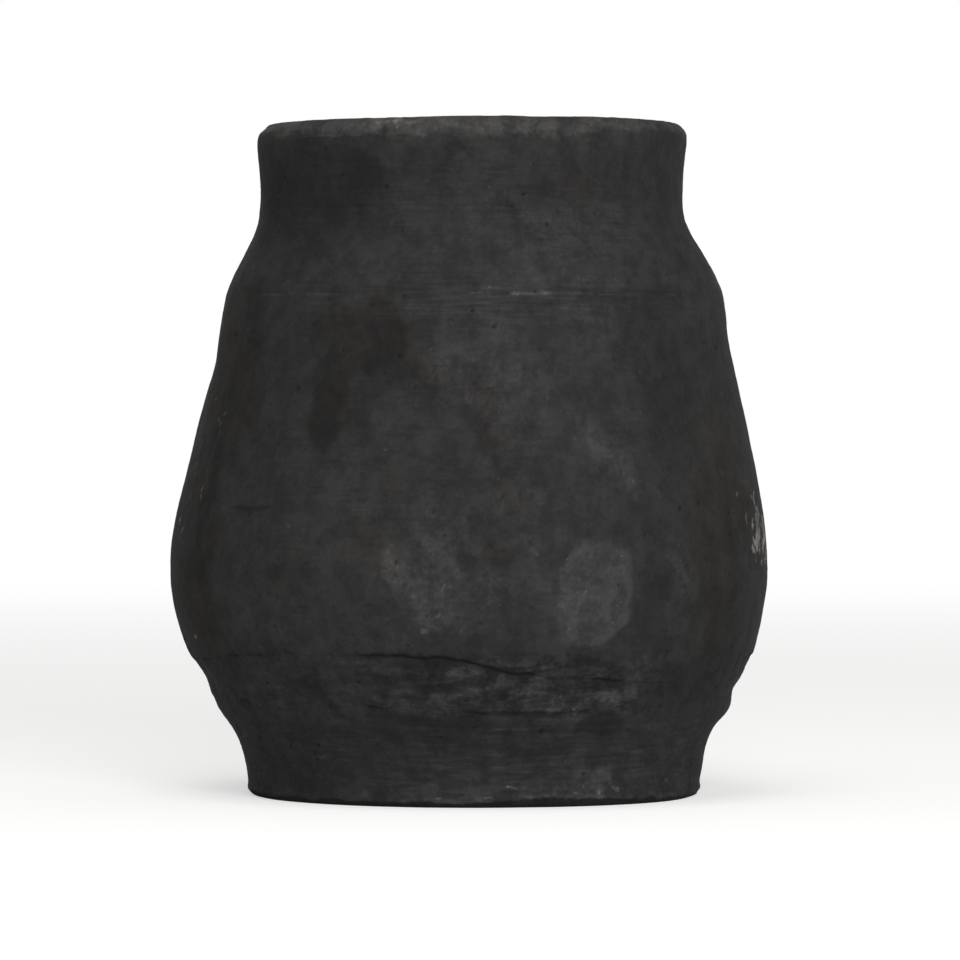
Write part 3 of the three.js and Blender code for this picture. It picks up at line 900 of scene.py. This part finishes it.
def buildSection(number, name):
    # a closed surface: up the outside, in along the upper joint, down the inside, out along the lower
    # joint. The base disc's own grid is open at its two middles, which are closed with a corner each
    step = sections[name]["rowHeight"]
    isDisc, isRim = number == 0, number == len(sections) - 1
    edgeBand = None
    if isDisc:
        level, poleGap = np.zeros(columns), flats["poleGap"]
        under = np.linspace(poleGap, wayEdge - flats["underEnd"], flats["underRows"])[:, None] + level
        edge = spread(level + wayEdge - flats["edgeStart"], outsideJoints[0], step)
        lower, lowerMarks = skinRows(np.concatenate([under, edge]))
        top = np.linspace(wayFloor, ways[-1] - poleGap, flats["floorRows"])[:, None] + level
        upper, upperMarks = skinRows(top)
        joint = seatRows(lower[-1], upper[0])
        rows = np.concatenate([lower, joint, upper])
        sharp = [len(lower) - 1, len(lower) + len(joint)]
        edgeBand = (len(under) - 1, len(lower) + len(joint))
        parts = [(lowerMarks, len(lower)), (None, len(joint)), (upperMarks, len(upper))]
    elif isRim:
        outerEnd = np.full(columns, wayLip - lipTop["before"])
        innerStart = np.full(columns, wayLip + lipTop["beyond"])
        outer = spread(outsideJoints[-1], outerEnd, step)
        over = spread(outerEnd, innerStart, step)[1:]
        inner = spread(innerStart, insideJoints[-1], insideRow)[1:]
        skin, marks = skinRows(np.concatenate([outer, over, inner]))
        joint = between(skin[-1], skin[0], 2)
        rows = np.concatenate([skin, joint])
        sharp = [0, len(skin) - 1]
        parts = [(marks, len(skin)), (None, len(joint))]
    else:
        outerWays = spread(outsideJoints[number - 1], outsideJoints[number], step)
        innerWays = spread(insideJoints[number], insideJoints[number - 1], insideRow)
        (outer, outerMarks), (inner, innerMarks) = skinRows(outerWays), skinRows(innerWays)
        top = between(outer[-1], inner[0], 2)
        foot = seatRows(outer[0], inner[-1])[::-1] if number == 1 else between(inner[-1], outer[0], 2)
        rows = np.concatenate([outer, top, inner, foot])
        sharp = [0, len(outer) - 1, len(outer) + len(top), len(outer) + len(top) + len(inner) - 1]
        parts = [(outerMarks, len(outer)), (None, len(top)), (innerMarks, len(inner)), (None, len(foot))]
    return meshFromRows(name, rows, sharp, parts, edgeBand)


def bandedMap(rows, quadRow, quadColumn, closed):
    # the skin unrolled and cut into bands that lie one above the other in the square: across by the
    # turn, up by the length along the section. As many bands as make the square evenly filled
    steps = np.linalg.norm(np.diff(rows, axis=0, append=rows[:1]), axis=-1).mean(1)
    if not closed:
        steps = steps[:-1]
    heights = np.concatenate([[0], np.cumsum(steps)])
    girth = 2 * np.pi * np.hypot(rows[..., 0], rows[..., 1]).mean(1).max()
    bands = next(n for n in mapping["bands"] if n == 1 or girth / n > 0.85 * n * heights[-1])
    gap, each = mapping["gap"], columns // bands
    band = quadColumn // each
    left = (quadColumn - band * each) / each
    cornersAcross = np.stack([left, left + 1 / each, left + 1 / each, left], -1)
    low, high = heights[quadRow] / heights[-1], heights[quadRow + 1] / heights[-1]
    cornersUp = np.stack([low, low, high, high], -1)
    u = gap + (1 - 2 * gap) * cornersAcross
    v = (band[:, None] + gap * bands + (1 - 2 * gap * bands) * cornersUp) / bands
    return np.stack([u, v], -1).reshape(-1, 2)


def discMap(place, flatLoops):
    # the two flats as circles side by side, seen straight on, below the edge's own bands
    placed = np.zeros((len(place), 2))
    for side, chosen in enumerate(flatLoops):
        placed[chosen] = (0.25 + 0.5 * side, 0.25) + place[chosen, :2] / 4 / mapping["flatReach"]
    return placed


def meshFromRows(name, rows, sharp, parts, edgeBand=None):
    # edgeBand is the first and last row of the base disc's edge, between its two flats
    count, closed = len(rows), edgeBand is None
    corners = rows.reshape(-1, 3) * metres
    i, j = np.meshgrid(np.arange(count if closed else count - 1), np.arange(columns), indexing="ij")
    i, j = i.ravel(), j.ravel()
    above, beside = (i + 1) % count, (j + 1) % columns
    thisRow, nextRow = i * columns, above * columns
    quads = np.stack([thisRow + j, thisRow + beside, nextRow + beside, nextRow + j], -1)
    loops, sizes = quads.ravel(), np.full(len(quads), 4)
    if not closed:
        one, following = np.arange(columns), (np.arange(columns) + 1) % columns
        last, pole = (count - 1) * columns, np.full(columns, len(corners))
        corners = np.concatenate([corners, [rows[0].mean(0) * metres], [rows[-1].mean(0) * metres]])
        lowFan = np.stack([following, one, pole], -1)
        highFan = np.stack([last + one, last + following, pole + 1], -1)
        loops = np.concatenate([loops, lowFan.ravel(), highFan.ravel()])
        sizes = np.concatenate([sizes, np.full(2 * columns, 3)])
        rowOfFace = np.concatenate([i, np.full(columns, -1), np.full(columns, count)])
        rowOfLoop = np.repeat(rowOfFace, sizes)
        flatLoops = (rowOfLoop < edgeBand[0], rowOfLoop >= edgeBand[1])
        inBand = (i >= edgeBand[0]) & (i < edgeBand[1])
        edgeRows = rows[edgeBand[0] : edgeBand[1] + 1]
        mapped = discMap(corners[loops] / metres, flatLoops)
        edgeMap = bandedMap(edgeRows, i[inBand] - edgeBand[0], j[inBand], False)
        edgeMap = edgeMap * (1, mapping["edgeShare"]) + (0, mapping["edgeFrom"])
        mapped[~(flatLoops[0] | flatLoops[1])] = edgeMap
    else:
        mapped = bandedMap(rows, i, j, True)
    mesh = bpy.data.meshes.new(name)
    mesh.vertices.add(len(corners))
    mesh.vertices.foreach_set("co", corners.ravel())
    mesh.loops.add(len(loops))
    mesh.loops.foreach_set("vertex_index", loops.astype(np.int32))
    mesh.polygons.add(len(sizes))
    mesh.polygons.foreach_set("loop_start", (np.cumsum(sizes) - sizes).astype(np.int32))
    mesh.update(calc_edges=True)
    mesh.uv_layers.new(name="OFBake").data.foreach_set("uv", mapped.astype(np.float32).ravel())
    ends = np.empty(len(mesh.edges) * 2, np.int32)
    mesh.edges.foreach_get("vertices", ends)
    endRows = ends.reshape(-1, 2) // columns
    isSharp = (endRows[:, 0] == endRows[:, 1]) & np.isin(endRows[:, 0], sharp)
    mesh.edges.foreach_set("use_edge_sharp", isSharp)
    mesh.polygons.foreach_set("use_smooth", np.ones(len(mesh.polygons), bool))
    for mark in markNames:
        values = [np.zeros((n, columns)) if marks is None else marks[mark] for marks, n in parts]
        values = np.concatenate(values).ravel()
        values = np.concatenate([values, np.zeros(len(corners) - len(values))])
        mesh.attributes.new(mark, "FLOAT", "POINT").data.foreach_set("value", values.astype(np.float32))
    if mesh.validate(verbose=False):
        print(name, "had faults in its mesh, which were mended")
    return addObject(name + "_clay", mesh)


# Materials: each of the three has its own values for the same shader groups

clayLooks = {
    "black_clay": {
        "color": (0.017, 0.0168, 0.0167), "cloud": 0.4, "mottle": 0.6, "mottleSize": 2.2,
        "streaks": 0.46, "grit": 0.34, "rubAndLipHighlight": 0.9, "roughness": (0.95, 0.74), "specular": 0.3,
        "dust": 0.015, "bump": 0.3,
    },
    "smoked_base": {
        "color": (0.0146, 0.0145, 0.0146), "cloud": 0.3, "mottle": 0.6, "mottleSize": 1.7,
        "streaks": 0.24, "grit": 0.36, "rubAndLipHighlight": 1.2, "roughness": (0.97, 0.82), "specular": 0.24,
        "dust": 0.01, "bump": 0.42,
    },
    # the rim coil: its lip's pale band is rubbed clay and a painted highlight
    "rubbed_rim": {
        "color": (0.017, 0.0168, 0.0166), "cloud": 0.4, "mottle": 0.56, "mottleSize": 2.0,
        "streaks": 0.5, "grit": 0.34, "rubAndLipHighlight": 0.95, "roughness": (0.94, 0.7), "specular": 0.3,
        "dust": 0.015, "bump": 0.3,
    },
}
dustRoughness = 0.25
bumpDepth = 0.5  # millimetres
tints = {  # what each mark multiplies the clay's color by where it is full
    "ashAndHighlight": (1.8, 1.77, 1.79), "sootAndShade": (0.45, 0.455, 0.48), "rust": (0.8, 0.7, 0.6),
    "rubAndLipHighlight": (2.15, 2.06, 1.92), "scratch": (1.5, 1.49, 1.49), "grit": (2.1, 2.08, 2.04),
    # hollow is the painted shade in cracks, pinholes and dark specks
    "blue": (0.93, 0.96, 1.06), "hollow": (0.16, 0.16, 0.16), "chipAndHighlight": (2.25, 2.23, 2.18),
}


def nodeGroup(name, takes, gives):
    # an empty shader group, which takes a place and some values and gives some numbers
    group = bpy.data.node_groups.new(name, "ShaderNodeTree")
    group.interface.new_socket("Place", in_out="INPUT", socket_type="NodeSocketVector")
    for socket, value in takes.items():
        kind = "NodeSocketVector" if isinstance(value, tuple) else "NodeSocketFloat"
        group.interface.new_socket(socket, in_out="INPUT", socket_type=kind).default_value = value
    for socket in gives:
        group.interface.new_socket(socket, in_out="OUTPUT", socket_type="NodeSocketFloat")
    return group, group.nodes.new("NodeGroupInput").outputs, group.nodes.new("NodeGroupOutput").inputs


def tinted(tree, share, color, tint):
    # the color, multiplied by the tint as far as the share says
    inputs = {0: share, 6: color, 7: (*tint, 1)}
    return node(tree, "Mix", inputs, data_type="RGBA", blend_type="MULTIPLY").outputs[2]


def makeNoiseGroup():
    # layered noise whose cell is a length in millimetres, stretched along each axis, from 0 to 1
    takes = {"Size": 10.0, "Stretch": (1, 1, 1), "Detail": 3.0, "Rough": 0.55, "Seed": 0.0}
    group, given, result = nodeGroup("clay_noise", takes, ["Value"])
    scale = maths(group, "DIVIDE", 1000.0, given["Size"])
    both = {0: given["Place"], 1: given["Stretch"]}
    place = node(group, "VectorMath", both, operation="DIVIDE").outputs[0]
    inputs = {"Vector": place, "W": given["Seed"], "Scale": scale}
    inputs |= {"Detail": given["Detail"], "Roughness": given["Rough"]}
    made = node(group, "TexNoise", inputs, noise_dimensions="4D")
    group.links.new(made.outputs["Fac"], result["Value"])
    return group


noiseGroup = makeNoiseGroup()


def placed(tree, group, place, **values):
    # one of the shader groups in a tree, with its own values
    return node(tree, "Group", {"Place": place, **values}, node_tree=group).outputs


def clayNoise(tree, place, size, stretch=(1, 1, 1), detail=3.0, rough=0.55, seed=0.0):
    values = {"Size": size, "Stretch": stretch, "Detail": detail, "Rough": rough, "Seed": seed}
    return placed(tree, noiseGroup, place, **values)["Value"]


def makeCloudGroup():
    # the smoke's clouds: a factor round 1, and where the clay is a little blue
    group, given, result = nodeGroup("smoke_clouds", {"Amount": 0.3}, ["Factor", "Blue"])
    place = given["Place"]
    large = clayNoise(group, place, 46, (1, 1, 1.5), 4, 0.55, 1)
    wisps = clayNoise(group, place, 15, (1, 1, 1.9), 4, 0.6, 3)
    both = plus(group, times(group, large, 0.55), times(group, wisps, 0.45))
    centred = times(group, minus(group, ramped(group, both, 0.3, 0.7), 0.5), given["Amount"])
    group.links.new(plus(group, centred, 1.0), result["Factor"])
    blue = clayNoise(group, place, 26, (1, 1, 1.2), 4, 0.6, 7)
    group.links.new(ramped(group, blue, 0.52, 0.7), result["Blue"])
    return group


def makeMottleGroup():
    # blotches of a few millimetres, some with a clear edge, and flecks at the noise's two ends. Spread
    # is how strongly they show at a point
    takes = {"Size": 2.0, "Amount": 0.3, "Spread": 1.0}
    group, given, result = nodeGroup("clay_mottle", takes, ["Factor", "Value"])
    place = given["Place"]
    coarse = clayNoise(group, place, 11, (1, 1, 1.2), 5, 0.65, 11)
    edged = ramped(group, clayNoise(group, place, 6.5, (1, 1, 1.1), 5, 0.7, 31), 0.43, 0.57)
    small = clayNoise(group, place, given["Size"], (1, 1, 1), 4, 0.7, 17)
    fleckNoise = clayNoise(group, place, 3.0, (1, 1, 1), 4, 0.75, 37)
    crowd = ramped(group, coarse, 0.42, 0.62)
    pale = times(group, ramped(group, fleckNoise, 0.60, 0.70), crowd)
    dark = ramped(group, fleckNoise, 0.38, 0.30)
    total = times(group, minus(group, coarse, 0.5), 1.7)
    total = plus(group, total, times(group, minus(group, edged, 0.5), 0.56))
    total = plus(group, total, times(group, minus(group, small, 0.5), 1.5))
    total = plus(group, total, times(group, pale, 1.5))
    total = minus(group, total, times(group, dark, 0.45))
    total = times(group, total, times(group, given["Amount"], given["Spread"]))
    group.links.new(maths(group, "MAXIMUM", plus(group, total, 1.0), 0.3), result["Factor"])
    value = plus(group, times(group, coarse, 0.5), times(group, small, 0.5))
    group.links.new(value, result["Value"])
    return group


def makeScraperGroup():
    # what the scraper leaves: fine level lines everywhere, stronger where Scraped is high, and torn
    # pale scratches there alone
    takes = {"Scraped": 0.0, "Amount": 0.3}
    group, given, result = nodeGroup("scraper_lines", takes, ["Factor", "Height", "Scratch"])
    place = given["Place"]
    lines = clayNoise(group, place, 1.2, (16, 16, 1), 3, 0.6, 14)
    broken = ramped(group, clayNoise(group, place, 13, (1, 1, 0.6), 3, 0.55, 19), 0.45, 0.7)
    share = plus(group, times(group, broken, 0.6), times(group, given["Scraped"], 0.8))
    centred = times(group, minus(group, lines, 0.5), share)
    factor = times(group, centred, times(group, given["Amount"], 4.5))
    group.links.new(plus(group, factor, 1.0), result["Factor"])
    group.links.new(centred, result["Height"])
    torn = ramped(group, clayNoise(group, place, 1.5, (5, 5, 0.75), 4, 0.6, 23), 0.60, 0.72)
    patch = ramped(group, clayNoise(group, place, 12, (1, 1, 0.7), 2, 0.5, 29), 0.42, 0.62)
    torn = times(group, torn, times(group, patch, given["Scraped"], clamped=True))
    group.links.new(torn, result["Scratch"])
    return group


def makeGritGroup():
    # grains in the clay: in each cell a dot of its own size, kept where its number is under Share
    takes = {"Cell": 4.0, "Radius": 0.4, "Share": 0.3}
    group, given, result = nodeGroup("clay_grit", takes, ["Specks"])
    scale = maths(group, "DIVIDE", 1000.0, given["Cell"])
    cells = node(group, "TexVoronoi", {"Vector": given["Place"], "Scale": scale})
    number = node(group, "SeparateColor", {"Color": cells.outputs["Color"]}).outputs
    apart = times(group, cells.outputs["Distance"], given["Cell"])
    wide = times(group, given["Radius"], plus(group, number["Green"], 0.5))
    dot = ramped(group, maths(group, "DIVIDE", apart, wide), 1.0, 0.45)
    kept = maths(group, "LESS_THAN", number["Red"], given["Share"])
    group.links.new(times(group, dot, kept), result["Specks"])
    return group


cloudGroup, mottleGroup = makeCloudGroup(), makeMottleGroup()
scraperGroup, gritGroup = makeScraperGroup(), makeGritGroup()


def makeClay(name, look):
    material = bpy.data.materials.new(name)
    material.use_nodes = True
    tree = material.node_tree
    shader = tree.nodes["Principled BSDF"]
    place = node(tree, "TexCoord").outputs["Object"]
    marks = {mark: node(tree, "Attribute", attribute_name=mark).outputs["Fac"] for mark in markNames}
    clouds = placed(tree, cloudGroup, place, Amount=look["cloud"])
    busy = plus(tree, times(tree, marks["smear"], 0.9), times(tree, marks["ashAndHighlight"], 0.15))
    busy = plus(tree, plus(tree, busy, times(tree, marks["rubAndLipHighlight"], 0.5)), 1.0)
    mottle = placed(tree, mottleGroup, place, Size=look["mottleSize"], Amount=look["mottle"], Spread=busy)
    scraper = placed(tree, scraperGroup, place, Scraped=marks["scraped"], Amount=look["streaks"])
    fine = clayNoise(tree, place, 1.5, (1, 1, 1), 4, 0.65, 21)
    ragged = minus(tree, plus(tree, mottle["Value"], fine), 1.0)

    def torn(mark, low, high, pull):
        # a mark's smooth mask with its edge broken up by the clay's mottle
        return ramped(tree, plus(tree, marks[mark], times(tree, ragged, pull)), low, high)

    color = node(tree, "RGB")
    color.outputs[0].default_value = (*look["color"], 1)
    factor = times(tree, clouds["Factor"], times(tree, mottle["Factor"], scraper["Factor"]))
    color = node(tree, "VectorMath", {0: color.outputs[0], "Scale": factor}, operation="SCALE").outputs[0]
    color = tinted(tree, times(tree, clouds["Blue"], 0.7), color, tints["blue"])
    color = tinted(tree, marks["rust"], color, tints["rust"])
    # darkens by the soot mark: the smoke's patches, and painted shade at the cracks, below the seam and
    # under the foot's torn edge
    color = tinted(tree, torn("sootAndShade", 0.0, 0.95, 0.5), color, tints["sootAndShade"])
    # paler where the ash mark is: pale fired clay and slip, and painted highlights along the pot's sides
    ashAndHighlight = torn("ashAndHighlight", 0.08, 0.92, 0.75)
    color = tinted(tree, ashAndHighlight, color, tints["ashAndHighlight"])
    # the lip's pale band: rubbed clay, and a painted highlight on the lip's rounded top
    rubAndLipHighlight = times(tree, torn("rubAndLipHighlight", 0.1, 0.95, 0.8), look["rubAndLipHighlight"], clamped=True)
    color = tinted(tree, rubAndLipHighlight, color, tints["rubAndLipHighlight"])
    color = tinted(tree, scraper["Scratch"], color, tints["scratch"])
    # paler on chipped clay; on the large chips at the right side this is partly a painted highlight
    color = tinted(tree, torn("chipAndHighlight", 0.3, 0.9, 0.6), color, tints["chipAndHighlight"])
    paleShare = plus(tree, times(tree, ashAndHighlight, 0.5), look["grit"] * 0.36)
    pale = placed(tree, gritGroup, place, Cell=3.4, Radius=0.52, Share=paleShare)["Specks"]
    color = tinted(tree, times(tree, pale, 0.72), color, tints["grit"])
    dark = placed(tree, gritGroup, place, Cell=5.2, Radius=0.5, Share=look["grit"])["Specks"]
    # painted shade: the cracks, the pinholes and the dark specks, which the bump also sinks, are darkened
    # to the hollow tint
    recessShade = maths(tree, "MAXIMUM", times(tree, marks["crack"], 0.9), times(tree, marks["pit"], 0.8))
    recessShade = maths(tree, "MAXIMUM", recessShade, times(tree, dark, 0.45))
    color = tinted(tree, recessShade, color, tints["hollow"])
    tree.links.new(color, shader.inputs["Base Color"])
    rough, smooth = look["roughness"]
    worn = plus(tree, times(tree, mottle["Value"], 0.7), times(tree, rubAndLipHighlight, 0.35))
    tree.links.new(ramped(tree, worn, 0.1, 0.8, (rough, smooth)), shader.inputs["Roughness"])
    shader.inputs["Specular IOR Level"].default_value = look["specular"]
    shader.inputs["Sheen Weight"].default_value = look["dust"]
    shader.inputs["Sheen Roughness"].default_value = dustRoughness
    height = plus(tree, fine, times(tree, scraper["Height"], 1.6))
    height = minus(tree, height, times(tree, dark, 0.6))
    inputs = {"Height": height, "Strength": look["bump"], "Distance": bumpDepth * metres}
    bump = node(tree, "Bump", inputs)
    tree.links.new(bump.outputs["Normal"], shader.inputs["Normal"])
    return material


clays = {slot: makeClay(slot, look) for slot, look in clayLooks.items()}
print("materials made:", ", ".join(clays))

for number, (name, facts) in enumerate(sections.items()):
    piece = buildSection(number, name)
    piece.data.materials.append(clays[facts["slot"]])
    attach(piece, "root")
    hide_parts(name)
    triangles = sum(len(face.vertices) - 2 for face in piece.data.polygons)
    print(f"{piece.name}: {triangles} triangles")
